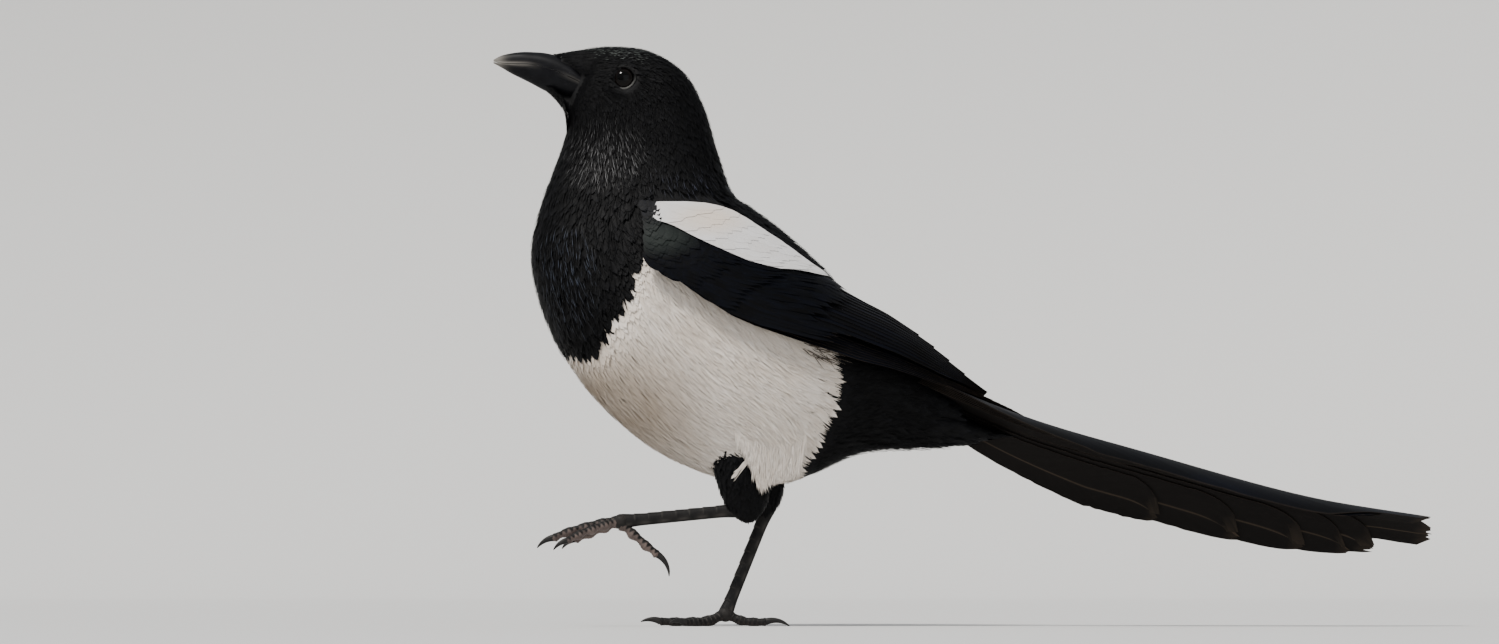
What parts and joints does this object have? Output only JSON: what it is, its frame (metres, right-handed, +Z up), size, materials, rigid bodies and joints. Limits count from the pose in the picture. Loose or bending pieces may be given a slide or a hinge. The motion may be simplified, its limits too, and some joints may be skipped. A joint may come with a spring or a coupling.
{
  "type": "eurasian magpie",
  "caption": "Life-size still model of a Eurasian magpie walking, one foot lifted, with a long graduated tail held low.",
  "frame": {"origin": "on the floor, under the middle of the bird's bounding box", "axes": "the bird faces -X along its length, its left side is -Y, +Z up"},
  "size_m": [0.3958, 0.0866, 0.2439],
  "materials": {
    "black_plumage": "matte",
    "white_plumage": "matte",
    "flight_plumage": "satin",
    "bill_horn": "satin",
    "leg_skin": "satin",
    "claw_horn": "satin",
    "eye": "gloss"
  },
  "bodies": {
    "root": {"head": "black_plumage", "bill_upper": "bill_horn", "bill_lower": "bill_horn", "eye_left": "eye", "eye_right": "eye", "neck": "black_plumage", "breast": "black_plumage", "belly": "white_plumage", "mantle": "black_plumage", "vent": "black_plumage", "trousers_left": "black_plumage", "trousers_right": "black_plumage", "wing_left_scapulars": "white_plumage", "wing_right_scapulars": "white_plumage", "wing_left_coverts": "flight_plumage", "wing_left_secondaries": "flight_plumage", "wing_left_primaries": "flight_plumage", "shank_left": "leg_skin", "toe_left_1": "leg_skin", "claw_left_1": "claw_horn", "toe_left_2": "leg_skin", "claw_left_2": "claw_horn", "toe_left_3": "leg_skin", "claw_left_3": "claw_horn", "toe_left_4": "leg_skin", "claw_left_4": "claw_horn", "wing_right_coverts": "flight_plumage", "wing_right_secondaries": "flight_plumage", "wing_right_primaries": "flight_plumage", "shank_right": "leg_skin", "toe_right_1": "leg_skin", "claw_right_1": "claw_horn", "toe_right_2": "leg_skin", "claw_right_2": "claw_horn", "toe_right_3": "leg_skin", "claw_right_3": "claw_horn", "toe_right_4": "leg_skin", "claw_right_4": "claw_horn", "tail": "flight_plumage"}
  },
  "joints": []
}
